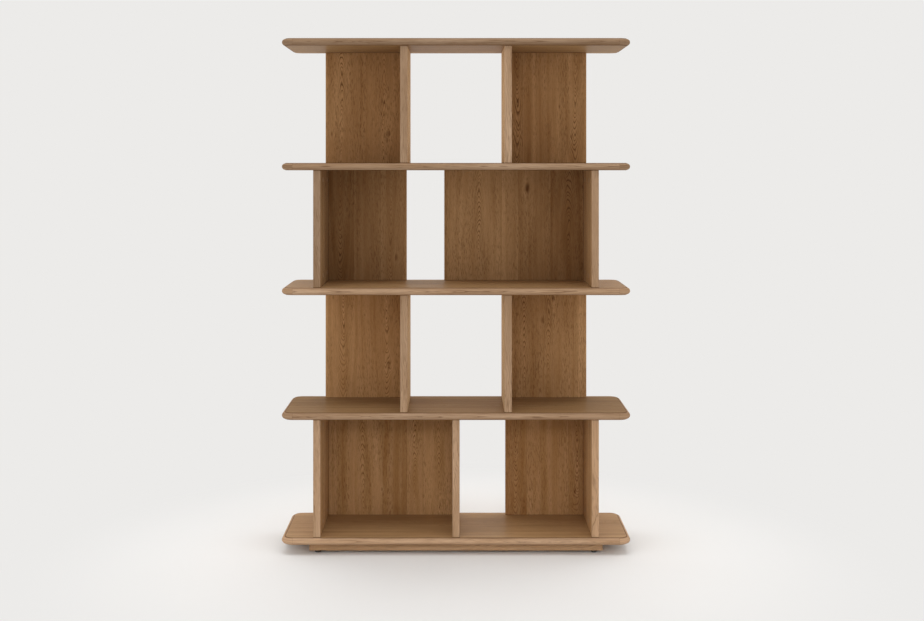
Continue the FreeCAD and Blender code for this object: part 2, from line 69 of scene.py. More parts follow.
class ShaderTree:
    """A node tree being filled, with short calls for the nodes that the finishes use."""

    def __init__(self, tree):
        self.tree = tree

    def feed(self, socket, value):
        """Links an output to a socket, or sets the socket to a plain value."""
        if isinstance(value, bpy.types.NodeSocket):
            self.tree.links.new(value, socket)
        else:
            socket.default_value = value

    def add(self, kind, inputs=None, **settings):
        node = self.tree.nodes.new(kind)
        for key, value in settings.items():
            setattr(node, key, value)
        for key, value in (inputs or {}).items():
            self.feed(node.inputs[key], value)
        return node

    def math(self, operation, *values, clamp=False):
        node = self.add("ShaderNodeMath", operation=operation, use_clamp=clamp)
        for socket, value in zip(node.inputs, values):
            self.feed(socket, value)
        return node.outputs[0]

    def plus(self, *values):
        total = values[0]
        for value in values[1:]:
            total = self.math("ADD", total, value)
        return total

    def minus(self, first, second):
        return self.math("SUBTRACT", first, second)

    def times(self, first, second):
        return self.math("MULTIPLY", first, second)

    def diagonal(self, first, second):
        """The length of a step made of two steps at right angles."""
        return self.math("SQRT", self.plus(self.times(first, first), self.times(second, second)))

    def around_zero(self, value, reach):
        """A value from 0 to 1 turned into one from -reach to reach."""
        return self.math("MULTIPLY_ADD", value, 2 * reach, -reach)

    def from_part(self, value, share):
        """A value from 0 to 1 that rules only a share of the whole, while the rest is always there."""
        return self.math("MULTIPLY_ADD", value, share, 1 - share)

    def rise(self, value, low, high, start=0.0, end=1.0):
        """A smooth step from start at low to end at high."""
        inputs = {"Value": value, "From Min": low, "From Max": high, "To Min": start, "To Max": end}
        return self.add("ShaderNodeMapRange", inputs, interpolation_type="SMOOTHSTEP").outputs["Result"]

    def fall(self, value, low, high):
        """A smooth step from 1 at low to 0 at high."""
        return self.rise(value, low, high, start=1.0, end=0.0)

    def point(self, x, y, z):
        return self.add("ShaderNodeCombineXYZ", {"X": x, "Y": y, "Z": z}).outputs[0]

    def parts(self, vector):
        return self.add("ShaderNodeSeparateXYZ", {"Vector": vector}).outputs

    def channels(self, colour):
        return self.add("ShaderNodeSeparateColor", {"Color": colour}).outputs

    def scaled(self, vector, scale):
        return self.add("ShaderNodeVectorMath", {0: vector, "Scale": scale}, operation="SCALE").outputs[0]

    def drawn_out(self, across, through, along, rates):
        """A place for noise with one number of waves per metre across the grain and another along it."""
        crosswise, lengthwise = rates
        return self.point(
            self.times(across, crosswise), self.times(through, crosswise), self.times(along, lengthwise)
        )

    def noise(self, place, detail=2.0, roughness=0.5):
        inputs = {"Vector": place, "Scale": 1.0, "Detail": detail, "Roughness": roughness}
        return self.add("ShaderNodeTexNoise", inputs, noise_dimensions="3D").outputs

    def noise_along(self, place, detail=2.0):
        inputs = {"W": place, "Scale": 1.0, "Detail": detail}
        return self.add("ShaderNodeTexNoise", inputs, noise_dimensions="1D").outputs[0]

    def mix(self, kind, share, first, second, sockets, **settings):
        """A mix node, its sockets given by place because each kind of value has the same names."""
        node = self.add("ShaderNodeMix", data_type=kind, **settings)
        *inputs, output = sockets
        for socket, value in zip(inputs, (share, first, second)):
            self.feed(node.inputs[socket], value)
        return node.outputs[output]

    def blend(self, share, first, second, clamp=True):
        """A mix of two colours."""
        return self.mix("RGBA", share, first, second, (0, 6, 7, 2), clamp_factor=clamp)

    def choose(self, share, first, second):
        """A mix of two numbers."""
        return self.mix("FLOAT", share, first, second, (0, 2, 3, 0))

    def seen(self):
        """1 where the camera sees a surface, directly, in a reflection or through glass."""
        path = self.add("ShaderNodeLightPath").outputs
        kinds = ("Is Camera Ray", "Is Glossy Ray", "Is Transmission Ray")
        return self.math("MINIMUM", self.plus(*(path[kind] for kind in kinds)), 1.0)

    def place(self, group, inputs):
        """A copy of a shared group in this tree, as its outputs by name."""
        node = self.add("ShaderNodeGroup", inputs, node_tree=group)
        return {socket.name: socket for socket in node.outputs}


def new_group(name, inputs, outputs):
    """An empty shared group with named sockets: its tree, what it is given and what it puts out."""
    tree = bpy.data.node_groups.new(name, "ShaderNodeTree")
    for label, kind in inputs:
        tree.interface.new_socket(label, in_out="INPUT", socket_type=f"NodeSocket{kind}")
    for label, kind in outputs:
        tree.interface.new_socket(label, in_out="OUTPUT", socket_type=f"NodeSocket{kind}")
    build = ShaderTree(tree)
    given = build.add("NodeGroupInput").outputs
    result = build.add("NodeGroupOutput").inputs
    return build, given, result


def numbers(*labels):
    """A group's sockets for numbers."""
    return tuple((label, "Float") for label in labels)


def colours(*labels):
    """A group's sockets for colours."""
    return tuple((label, "Color") for label in labels)


def vectors(*labels):
    """A group's sockets for places."""
    return tuple((label, "Vector") for label in labels)


def numbered(label, count):
    """The names label 1, label 2 and so on."""
    return tuple(f"{label} {number}" for number in range(1, count + 1))


BOX_SOCKETS = vectors("Position", "Low corner", "High corner")
SURFACE_SOCKETS = colours("Colour") + numbers("Roughness", "Height")

# In the values below a pair is where a smooth step begins and ends, and a pair of rates is the waves per
# metre across and along the grain.

# Distance from the middle of a glue line
GLUE_LINE = (0.0003, 0.0011)


def make_stave_group():
    """Splits a board into staves at glue lines, each with a heart, a tint and a tone, partly painted shade.
    """
    build, given, result = new_group(
        "Oak staves",
        numbers("Across", "Seed", *numbered("Joint", MOST_STAVES - 1))
        + numbers(*numbered("Tone", MOST_STAVES), *numbered("Heart", MOST_STAVES)),
        colours("Stave tint") + numbers("Tone", "Heart", "Joint line"),
    )
    number = given["Seed"]
    tone = given["Tone 1"]
    heart = given["Heart 1"]
    line = 0.0
    for joint in range(1, MOST_STAVES):
        past = build.minus(given["Across"], given[f"Joint {joint}"])
        beyond = build.math("GREATER_THAN", past, 0.0)
        number = build.plus(number, beyond)
        tone = build.choose(beyond, tone, given[f"Tone {joint + 1}"])
        heart = build.choose(beyond, heart, given[f"Heart {joint + 1}"])
        line = build.math("MAXIMUM", line, build.fall(build.math("ABSOLUTE", past), *GLUE_LINE))
    tint = build.add("ShaderNodeTexWhiteNoise", {"W": number}, noise_dimensions="1D").outputs["Color"]
    build.feed(result["Stave tint"], tint)
    build.feed(result["Tone"], tone)
    build.feed(result["Heart"], heart)
    build.feed(result["Joint line"], line)
    return build.tree


# The grain's drifts: their rates and the detail in them
DRIFTS = {"Sway": ((6.0, 1.7), 2.0), "Ripple": ((46.0, 17.0), 1.0), "Clouds": ((27.0, 3.4), 3.0)}
# How far along the grain a stave's tint moves its drifts
STAVE_SHIFT = 7.0


def make_drift_group():
    """How the grain wanders, slowly and quickly, and the cloudy change of tone along the board."""
    build, given, result = new_group(
        "Oak drift", numbers("Along", "Across", "Through") + colours("Stave tint"), colours(*DRIFTS)
    )
    tint = build.channels(given["Stave tint"])["Blue"]
    along = build.math("MULTIPLY_ADD", tint, STAVE_SHIFT, given["Along"])
    for label, (rates, detail) in DRIFTS.items():
        place = build.drawn_out(given["Across"], given["Through"], along, rates)
        build.feed(result[label], build.noise(place, detail=detail)["Color"])
    return build.tree


# A knot, in sizes of its eye: how much a length along the grain counts, how far the outline wavers, the
# eye, the streaks at its ends with their share of its darkness, and the halo
KNOT_LENGTHWISE = 0.42
KNOT_WAVER = 0.45
KNOT_EYE = (0.1, 1.1)
KNOT_STREAK_SIDE = (0.1, 0.7)
KNOT_STREAK_RUN = (0.6, 2.0)
KNOT_STREAK_DARKNESS = 0.3
KNOT_HALO = (0.9, 2.6)
# How strongly the grain parts round a knot, and how that dies away
PARTING = 0.8
PARTING_DECAY = 0.35


def make_knot_group():
    """One knot: how the grain parts round it, its dark eye with a streak at each end, and a paler halo."""
    build, given, result = new_group(
        "Oak knot",
        numbers("Along", "Across", "Unevenness", "Knot across", "Knot along", "Knot size", "Knot darkness"),
        numbers("Parting", "Eye", "Halo"),
    )
    off_side = build.minus(given["Across"], given["Knot across"])
    side = build.math("DIVIDE", off_side, given["Knot size"])
    run = build.math("DIVIDE", build.minus(given["Along"], given["Knot along"]), given["Knot size"])
    run = build.times(run, KNOT_LENGTHWISE)
    waver = build.around_zero(given["Unevenness"], KNOT_WAVER)
    reach = build.plus(build.diagonal(side, run), waver)
    swell = build.math("EXPONENT", build.times(build.times(reach, reach), -PARTING_DECAY))
    build.feed(result["Parting"], build.times(off_side, build.times(swell, PARTING)))
    beside = build.fall(build.math("ABSOLUTE", build.plus(side, waver)), *KNOT_STREAK_SIDE)
    beyond = build.fall(build.math("ABSOLUTE", run), *KNOT_STREAK_RUN)
    streak = build.times(build.times(beside, beyond), KNOT_STREAK_DARKNESS)
    eye = build.math("MAXIMUM", build.fall(reach, *KNOT_EYE), streak)
    build.feed(result["Eye"], build.times(eye, given["Knot darkness"]))
    build.feed(result["Halo"], build.fall(reach, *KNOT_HALO))
    return build.tree


# How far the sway and the ripple of the grain move the rings, sideways and in depth
SWAY_SIDEWAYS = 0.014
SWAY_IN_DEPTH = 0.01
RIPPLE_SIDEWAYS = 0.0022
RIPPLE_IN_DEPTH = 0.0024
# The uneven widths of the rings: waves per metre of radius, and the most that they move a ring, in rings
UNEVEN_WAVES = 150.0
UNEVEN_RINGS = 0.9
# Streaks of tone along the rings: waves per metre of radius, and the detail in them
STREAK_WAVES = 44.0
STREAK_DETAIL = 3.0
# The most that a stave's tint moves both, in waves
TINT_WAVES = 9.0
# The parts of a year's ring
EARLYWOOD_END = (0.0, 0.4)
EARLYWOOD_START = (0.9, 1.0)
LATEWOOD = (0.35, 0.95)
# Distance to the side of the heart within which the rings draw arches
ARCHES = (0.006, 0.026)


def make_ring_group():
    """The year rings of a log round its heart, cut by the board: arches over the heart, lines beside it."""
    build, given, result = new_group(
        "Oak rings",
        numbers("Along", "Across", "Through", "Heart", "Depth", "Taper", "Ring width")
        + colours("Stave tint", "Sway", "Ripple"),
        numbers("Earlywood", "Latewood", "Streaks", "Arches"),
    )
    tint = build.channels(given["Stave tint"])
    sway = build.channels(given["Sway"])
    ripple = build.channels(given["Ripple"])
    side = build.plus(
        given["Across"],
        build.around_zero(sway["Red"], SWAY_SIDEWAYS),
        build.around_zero(ripple["Red"], RIPPLE_SIDEWAYS),
    )
    side = build.minus(side, given["Heart"])
    depth = build.plus(
        given["Depth"],
        given["Through"],
        build.times(given["Along"], given["Taper"]),
        build.around_zero(sway["Green"], SWAY_IN_DEPTH),
        build.around_zero(ripple["Green"], RIPPLE_IN_DEPTH),
    )
    radius = build.diagonal(side, depth)
    uneven_place = build.math("MULTIPLY_ADD", radius, UNEVEN_WAVES, build.times(tint["Red"], TINT_WAVES))
    uneven = build.around_zero(build.noise_along(uneven_place), UNEVEN_RINGS)
    count = build.plus(build.math("DIVIDE", radius, given["Ring width"]), uneven)
    ring = build.math("FRACT", count)
    early = build.plus(build.fall(ring, *EARLYWOOD_END), build.rise(ring, *EARLYWOOD_START))
    build.feed(result["Earlywood"], early)
    build.feed(result["Latewood"], build.rise(ring, *LATEWOOD))
    build.feed(result["Arches"], build.fall(build.math("ABSOLUTE", side), *ARCHES))
    streak_place = build.math("MULTIPLY_ADD", radius, STREAK_WAVES, build.times(tint["Blue"], TINT_WAVES))
    build.feed(result["Streaks"], build.noise_along(streak_place, detail=STREAK_DETAIL))
    return build.tree


# Pores and clusters of pores: their rates, and where the noise turns into them
PORE_RATES = (1300.0, 95.0)
PORE_LEVEL = (0.52, 0.66)
CLUSTER_RATES = (310.0, 84.0)
CLUSTER_LEVEL = (0.5, 0.62)
CLUSTER_ROUGHNESS = 0.6
# How much of the pores' strength hangs on the earlywood, and of the clusters' on where the pores crowd
EARLYWOOD_SHARE = 0.6
CROWDED_SHARE = 0.75
CROWDING_LEVEL = (0.36, 0.62)
# Pin knots: cells per metre across and along the grain, the share of cells with none, and the eye in cells
PIN_CELLS_ACROSS = 11.0
PIN_CELLS_ALONG = 5.5
PIN_CELLS_EMPTY = 0.66
PIN_EYE = (0.012, 0.036)


def make_pore_group():
    """The open pores of oak: fine dashes along the grain, clusters of them and a few pin knots."""
    build, given, result = new_group(
        "Oak pores",
        numbers("Along", "Across", "Through", "Earlywood", "Crowding", "Seed"),
        numbers("Pores", "Clusters", "Pin knots"),
    )
    along = build.plus(given["Along"], given["Seed"])
    fine = build.drawn_out(given["Across"], given["Through"], along, PORE_RATES)
    coarse = build.drawn_out(given["Across"], given["Through"], along, CLUSTER_RATES)
    share = build.from_part(given["Earlywood"], EARLYWOOD_SHARE)
    crowding = build.from_part(build.rise(given["Crowding"], *CROWDING_LEVEL), CROWDED_SHARE)
    pores = build.rise(build.noise(fine, detail=1.0)[0], *PORE_LEVEL)
    clusters = build.rise(build.noise(coarse, detail=1.0, roughness=CLUSTER_ROUGHNESS)[0], *CLUSTER_LEVEL)
    build.feed(result["Pores"], build.times(pores, share))
    build.feed(result["Clusters"], build.times(build.times(clusters, share), crowding))
    cells = build.point(
        build.times(given["Across"], PIN_CELLS_ACROSS), build.times(along, PIN_CELLS_ALONG), given["Seed"]
    )
    inputs = {"Vector": cells, "Scale": 1.0}
    dots = build.add("ShaderNodeTexVoronoi", inputs, voronoi_dimensions="2D").outputs
    chance = build.math("GREATER_THAN", build.channels(dots["Color"])["Red"], PIN_CELLS_EMPTY)
    build.feed(result["Pin knots"], build.times(build.fall(dots["Distance"], *PIN_EYE), chance))
    return build.tree


# Uneven edge width: waves per metre, and the least width and the most that is added, in edge widths
WEAR_WAVES = 38.0
LEAST_WEAR = 0.3
ADDED_WEAR = 1.4


def make_edge_group():
    """How near a point on a board is to its edges, unevenly: worn edges with a painted highlight."""
    build, given, result = new_group("Board edges", BOX_SOCKETS + numbers("Width"), numbers("Edge"))
    sides = zip(*(build.parts(given[label]) for label, _ in BOX_SOCKETS))
    gaps = []
    for place, low, high in sides:
        gaps.append(build.math("MINIMUM", build.minus(place, low), build.minus(high, place)))
    smaller = build.math("MINIMUM", gaps[0], gaps[1])
    larger = build.math("MAXIMUM", gaps[0], gaps[1])
    second = build.math("MINIMUM", larger, build.math("MAXIMUM", smaller, gaps[2]))
    worn = build.noise(build.scaled(given["Position"], WEAR_WAVES))[0]
    width = build.times(given["Width"], build.math("MULTIPLY_ADD", worn, ADDED_WEAR, LEAST_WEAR))
    edge = build.math("SUBTRACT", 1.0, build.math("DIVIDE", second, width), clamp=True)
    build.feed(result["Edge"], edge)
    return build.tree


# Distance from where two boards meet, over which a dark joint line with painted corner shade falls
SEAM_SHADE_REACH = (0.0006, 0.0026)


def make_seam_shade_group():
    """A dark joint line where a board stands against its neighbours, with painted corner shade."""
    build, given, result = new_group("Board seam shade", BOX_SOCKETS, numbers("Seam"))
    sides = zip(*(build.parts(given[label]) for label, _ in BOX_SOCKETS))
    gap = NOWHERE
    for place, low, high in sides:
        gap = build.math("MINIMUM", gap, build.minus(place, low))
        gap = build.math("MINIMUM", gap, build.minus(high, place))
    build.feed(result["Seam"], build.fall(gap, *SEAM_SHADE_REACH))
    return build.tree


# Distance inwards from the lipping-board joint: the groove's dark line, widened on the lipping as painted
# shade
GROOVE_SHADE_ON_BOARD = (0.0006, 0.0016)
GROOVE_SHADE_ON_LIPPING = (-0.0038, -0.0012)


def make_outline_group():
    """How far in from a shelf's round-cornered outline a point is, and its groove with painted edge shade.
    """
    build, given, result = new_group(
        "Shelf outline",
        vectors("Position") + numbers("Half length", "Half depth", "Corner radius", "Lipping width"),
        numbers("Inset", "Groove shade"),
    )
    past = []
    for place, half in zip(build.parts(given["Position"]), ("Half length", "Half depth")):
        straight_run = build.minus(given[half], given["Corner radius"])
        past.append(build.minus(build.math("ABSOLUTE", place), straight_run))
    round_corner = build.diagonal(*(build.math("MAXIMUM", step, 0.0) for step in past))
    straight = build.math("MINIMUM", build.math("MAXIMUM", *past), 0.0)
    inset = build.minus(given["Corner radius"], build.plus(round_corner, straight))
    build.feed(result["Inset"], inset)
    from_joint = build.minus(inset, given["Lipping width"])
    on_board = build.fall(from_joint, *GROOVE_SHADE_ON_BOARD)
    on_lipping = build.rise(from_joint, *GROOVE_SHADE_ON_LIPPING)
    build.feed(result["Groove shade"], build.math("MINIMUM", on_board, on_lipping))
    return build.tree


# The tone, from dark wood at 0 to light wood at 1: its middle, how far each effect moves it, and its limits
MIDDLE_TONE = 0.5
STREAK_TONE = 0.75
CLOUD_TONE = 0.9
HALO_TONE = 0.25
# Lighter edges: partly wear, partly a painted highlight
EDGE_WEAR_AND_HIGHLIGHT_TONE = 0.3
DARKEST_TONE = -0.4
LIGHTEST_TONE = 1.4
# How strongly each mark covers the wood
LATEWOOD_COVER = 0.36
EARLYWOOD_COVER = 0.42
ARCH_COVER = 0.4
PORE_COVER = 0.3
CLUSTER_COVER = 0.85
PIN_KNOT_COVER = 0.5
SEAM_SHADE_COVER = 0.8
# The level of the clouds at which arches show
ARCH_CLOUDS = (0.4, 0.62)
# What makes the oil's surface rougher or smoother
PORE_ROUGHNESS = 0.14
STREAK_ROUGHNESS = 0.06
EDGE_ROUGHNESS = -0.06
# How deep each mark lies in the relief
MARK_DEPTHS = {"Pores": 0.55, "Clusters": 0.2, "Earlywood": 0.12, "Joint line": 0.6, "Knot eyes": 0.2}


def make_oak_finish_group():
    """Brings the figure, pores, seam shade and edges of a board together as colour, roughness and height.
    """
    build, given, result = new_group(
        "Oak finish",
        colours("Light wood", "Dark wood", "Pore colour", "Knot colour", "Clouds")
        + numbers("Tone", "Earlywood", "Latewood", "Streaks", "Arches", "Pores", "Clusters", "Pin knots")
        + numbers("Knot eyes", "Knot halos", "Joint line", "Seam", "Edge")
        + numbers("Figure strength", "Pore strength", "Oil roughness"),
        SURFACE_SOCKETS,
    )
    clouds = build.channels(given["Clouds"])
    figure = build.plus(
        build.around_zero(given["Streaks"], STREAK_TONE),
        build.around_zero(clouds["Red"], CLOUD_TONE),
        build.times(given["Knot halos"], HALO_TONE),
    )
    tone = build.plus(
        MIDDLE_TONE,
        given["Tone"],
        build.times(figure, given["Figure strength"]),
        build.times(given["Edge"], EDGE_WEAR_AND_HIGHLIGHT_TONE),
    )
    tone = build.math("MAXIMUM", build.math("MINIMUM", tone, LIGHTEST_TONE), DARKEST_TONE)
    colour = build.blend(tone, given["Dark wood"], given["Light wood"], clamp=False)
    late = build.times(build.times(given["Latewood"], LATEWOOD_COVER), given["Figure strength"])
    colour = build.blend(late, colour, given["Dark wood"])
    arches = build.times(given["Arches"], build.rise(clouds["Blue"], *ARCH_CLOUDS))
    open_rings = build.math("MULTIPLY_ADD", arches, ARCH_COVER, EARLYWOOD_COVER)
    early = build.times(build.times(given["Earlywood"], open_rings), given["Pore strength"])
    colour = build.blend(early, colour, given["Pore colour"])
    open_grain = build.plus(
        build.times(given["Pores"], PORE_COVER), build.times(given["Clusters"], CLUSTER_COVER)
    )
    colour = build.blend(build.times(open_grain, given["Pore strength"]), colour, given["Pore colour"])
    colour = build.blend(given["Knot eyes"], colour, given["Knot colour"])
    marks = build.math("MAXIMUM", build.times(given["Pin knots"], PIN_KNOT_COVER), given["Joint line"])
    # The dark joint line where boards meet, with painted shade in the corner
    marks = build.math("MAXIMUM", marks, build.times(given["Seam"], SEAM_SHADE_COVER))
    build.feed(result["Colour"], build.blend(marks, colour, given["Pore colour"]))
    rough = build.plus(
        given["Oil roughness"],
        build.times(given["Pores"], PORE_ROUGHNESS),
        build.around_zero(given["Streaks"], STREAK_ROUGHNESS),
        build.times(given["Edge"], EDGE_ROUGHNESS),
    )
    build.feed(result["Roughness"], rough)
    dents = (build.times(given[mark], -depth) for mark, depth in MARK_DEPTHS.items())
    build.feed(result["Height"], build.plus(1.0, *dents))
    return build.tree


# Metal: its clouds, its scratches with their rates, and its roughness
METAL_CLOUD_LEVEL = (0.3, 0.7)
SCRATCH_RATES = (5200.0, 600.0)
SCRATCH_LEVEL = (0.55, 0.75)
SCRATCH_DEPTH = 0.3
METAL_ROUGHNESS = 0.3
METAL_CLOUD_ROUGHNESS = 0.22
SCRATCH_ROUGHNESS = 0.08


def make_metal_group():
    """Plated or cast metal: cloudy tone, fine scratches and an uneven sheen."""
    build, given, result = new_group(
        "Fitting metal", vectors("Position") + colours("Bright", "Dull") + numbers("Grain"), SURFACE_SOCKETS
    )
    cloud = build.noise(build.scaled(given["Position"], given["Grain"]), detail=3.0)[0]
    scratch_place = build.drawn_out(*build.parts(given["Position"]), SCRATCH_RATES)
    scratch = build.rise(build.noise(scratch_place, detail=1.0)[0], *SCRATCH_LEVEL)
    colour = build.blend(build.rise(cloud, *METAL_CLOUD_LEVEL), given["Dull"], given["Bright"])
    build.feed(result["Colour"], colour)
    rough = build.plus(
        METAL_ROUGHNESS,
        build.times(cloud, METAL_CLOUD_ROUGHNESS),
        build.times(scratch, SCRATCH_ROUGHNESS),
    )
    build.feed(result["Roughness"], rough)
    build.feed(result["Height"], build.plus(cloud, build.times(scratch, -SCRATCH_DEPTH)))
    return build.tree


# Plastic: the waves per metre of its grain and of its rubbed spots, where these show, and its roughness
MOULD_WAVES = 2600.0
RUB_WAVES = 140.0
RUB_LEVEL = (0.4, 0.75)
PLASTIC_ROUGHNESS = 0.46
MOULD_ROUGHNESS = 0.16
RUB_ROUGHNESS = 0.08


def make_moulded_group():
    """Moulded plastic: a fine eroded grain with rubbed, slightly paler high spots."""
    build, given, result = new_group(
        "Moulded plastic", vectors("Position") + colours("Plain", "Rubbed"), SURFACE_SOCKETS
    )
    grain = build.noise(build.scaled(given["Position"], MOULD_WAVES))[0]
    rub = build.noise(build.scaled(given["Position"], RUB_WAVES), detail=3.0)[0]
    build.feed(result["Colour"], build.blend(build.rise(rub, *RUB_LEVEL), given["Plain"], given["Rubbed"]))
    rough = build.plus(
        PLASTIC_ROUGHNESS, build.times(grain, MOULD_ROUGHNESS), build.times(rub, RUB_ROUGHNESS)
    )
    build.feed(result["Roughness"], rough)
    build.feed(result["Height"], grain)
    return build.tree


STAVES = make_stave_group()
DRIFT = make_drift_group()
KNOT = make_knot_group()
RINGS = make_ring_group()
PORES = make_pore_group()
EDGES = make_edge_group()
SEAM_SHADES = make_seam_shade_group()
OUTLINE = make_outline_group()
OAK_FINISH = make_oak_finish_group()
METAL = make_metal_group()
MOULDED = make_moulded_group()


def new_material(name):
    """An empty material with its shader."""
    material = bpy.data.materials.new(name)
    material.use_nodes = True
    build = ShaderTree(material.node_tree)
    shader = material.node_tree.nodes["Principled BSDF"]
    position = build.add("ShaderNodeTexCoord").outputs["Object"]
    return Making(material, build, shader, position)


def finish_shader(making, surface, relief):
    """Joins a surface's colour, roughness and height to the shader."""
    build, shader = making.build, making.shader
    build.feed(shader.inputs["Base Color"], surface["Colour"])
    build.feed(shader.inputs["Roughness"], surface["Roughness"])
    inputs = {"Height": surface["Height"], "Distance": relief.depth, "Strength": relief.strength}
    build.feed(shader.inputs["Normal"], build.add("ShaderNodeBump", inputs).outputs["Normal"])


def cover(name, material):
    """Gives a piece its one material."""
    nodes[name].data.materials.clear()
    nodes[name].data.materials.append(material)


# The oiled oak, by where it is used
# Back panels' fronts: a darker, more golden copy of the rear oak, as painted shade of the niches
NICHE_SHADED_OAK = Oak(paint(198, 155, 109), paint(161, 118, 75), 0.9, 0.95, 1.7, 0.66, 0.01)
REAR_OAK = NICHE_SHADED_OAK._replace(light=paint(181, 149, 117), dark=paint(150, 118, 86))
SHELF_OAK = Oak(paint(178, 143, 103), paint(151, 116, 78), 0.8, 0.35, 3.0, 0.38, 0.02)
SIDE_OAK = Oak(paint(194, 157, 115), paint(167, 128, 88), 0.9, 0.6, 2.5, 0.72, 0.004)
# Lighter than the sides' oak: painted light reaching the dividers through the open middle
DIVIDER_OAK = SIDE_OAK._replace(light=paint(208, 176, 138), dark=paint(180, 146, 108))
# Uprights' edges, less golden than their faces: painted light, the faces warmed for bounced niche light
FRONT_LIT_EDGE_OAK = SIDE_OAK._replace(light=paint(189, 158, 129), dark=paint(162, 129, 98))
LIPPING_OAK = Oak(paint(185, 155, 127), paint(160, 128, 98), 1.3, 0.62, 5.0, 0.6, 0.01)
PLINTH_OAK = Oak(paint(203, 166, 130), paint(173, 137, 101), 0.9, 0.6, 4.0, 0.66, 0.01)
OAK_PORE = paint(96, 66, 40)
OAK_KNOT = paint(84, 46, 16)
OAK_RELIEF = Relief(0.0003, 0.6)
RING_WIDTH = 0.0017
LIPPING_RING_WIDTH = 0.003
# The seed of a board's pores, as a share of the board's own
PORE_SEED_SHARE = 0.73
EDGE_WIDTH = 0.004
LIPPING_WIDTH = 0.012
LIPPING_CORNER = 0.04
# How far in the painted-light oak of an upright's edges reaches, and half of the line where it ends
EDGE_LIGHT_WIDTH = 0.002
EDGE_LIGHT_LINE = 0.0004
# How far in from a back panel's faces its oak begins to change
PANEL_EDGE = 0.003


def shaded(oak, share):
    """The same oak with its colours taken up or down."""
    light, dark = ((*(share * level for level in colour[:3]), 1.0) for colour in (oak.light, oak.dark))
    return oak._replace(light=light, dark=dark)


def named_inputs(label, values, count, filler):
    """Inputs called label 1, label 2 and so on, filled up to count."""
    filled = list(values) + [filler] * (count - len(values))
    return dict(zip(numbered(label, count), filled))


def split_into_staves(build, across, seed, figure):
    """The stave that a point is in, by its tint, tone and heart, and the glue lines."""
    return build.place(
        STAVES,
        {
            "Across": across,
            "Seed": seed,
            **named_inputs("Joint", figure.joints, MOST_STAVES - 1, NOWHERE),
            **named_inputs("Tone", figure.tones, MOST_STAVES, figure.tones[-1]),
            **named_inputs("Heart", figure.hearts, MOST_STAVES, figure.hearts[-1]),
        },
    )


def set_knots(build, along, across, unevenness, knots):
    """The place across the grain as the knots part it, and the knots' eyes and halos."""
    parted = across
    eyes = 0.0
    halos = 0.0
    for knot in knots:
        inputs = {
            "Along": along,
            "Across": across,
            "Unevenness": unevenness,
            "Knot across": knot.across,
            "Knot along": knot.along,
            "Knot size": knot.size,
            "Knot darkness": knot.dark,
        }
        marks = build.place(KNOT, inputs)
        parted = build.minus(parted, marks["Parting"])
        eyes = build.math("MAXIMUM", eyes, marks["Eye"])
        halos = build.math("MAXIMUM", halos, marks["Halo"])
    return parted, eyes, halos


def lay_oak(making, name, run, seam_shade, seed, figure, oak, ring_width=RING_WIDTH):
    """Oak on one board: run is the place along, across and through its grain."""
    build = making.build
    along, across, through = run
    staves = split_into_staves(build, across, seed, figure)
    tint = {"Stave tint": staves["Stave tint"]}
    drift = build.place(DRIFT, {"Along": along, "Across": across, "Through": through, **tint})
    unevenness = build.channels(drift["Ripple"])["Blue"]
    parted, eyes, halos = set_knots(build, along, across, unevenness, figure.knots)
    rings = build.place(
        RINGS,
        {
            "Along": along,
            "Across": parted,
            "Through": through,
            **tint,
            "Sway": drift["Sway"],
            "Ripple": drift["Ripple"],
            "Heart": staves["Heart"],
            "Depth": figure.depth,
            "Taper": figure.taper,
            "Ring width": ring_width,
        },
    )
    pores = build.place(
        PORES,
        {
            "Along": build.math("DIVIDE", along, oak.stretch),
            "Across": parted,
            "Through": through,
            "Earlywood": rings["Earlywood"],
            "Crowding": build.channels(drift["Clouds"])["Green"],
            "Seed": seed * PORE_SEED_SHARE,
        },
    )
    low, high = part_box(name)
    corners = {"Position": making.position, "Low corner": tuple(low), "High corner": tuple(high)}
    edges = build.place(EDGES, {**corners, "Width": EDGE_WIDTH})
    surface = build.place(
        OAK_FINISH,
        {
            **rings,
            **pores,
            **edges,
            "Light wood": oak.light,
            "Dark wood": oak.dark,
            "Pore colour": OAK_PORE,
            "Knot colour": OAK_KNOT,
            "Clouds": drift["Clouds"],
            "Tone": staves["Tone"],
            "Knot eyes": eyes,
            "Knot halos": halos,
            "Joint line": build.times(staves["Joint line"], figure.glue),
            "Seam": seam_shade,
            "Figure strength": oak.figure,
            "Pore strength": oak.pores,
            "Oil roughness": oak.roughness,
        },
    )
    finish_shader(making, surface, OAK_RELIEF)
    making.shader.inputs["Specular IOR Level"].default_value = oak.gloss
    cover(name, making.material)
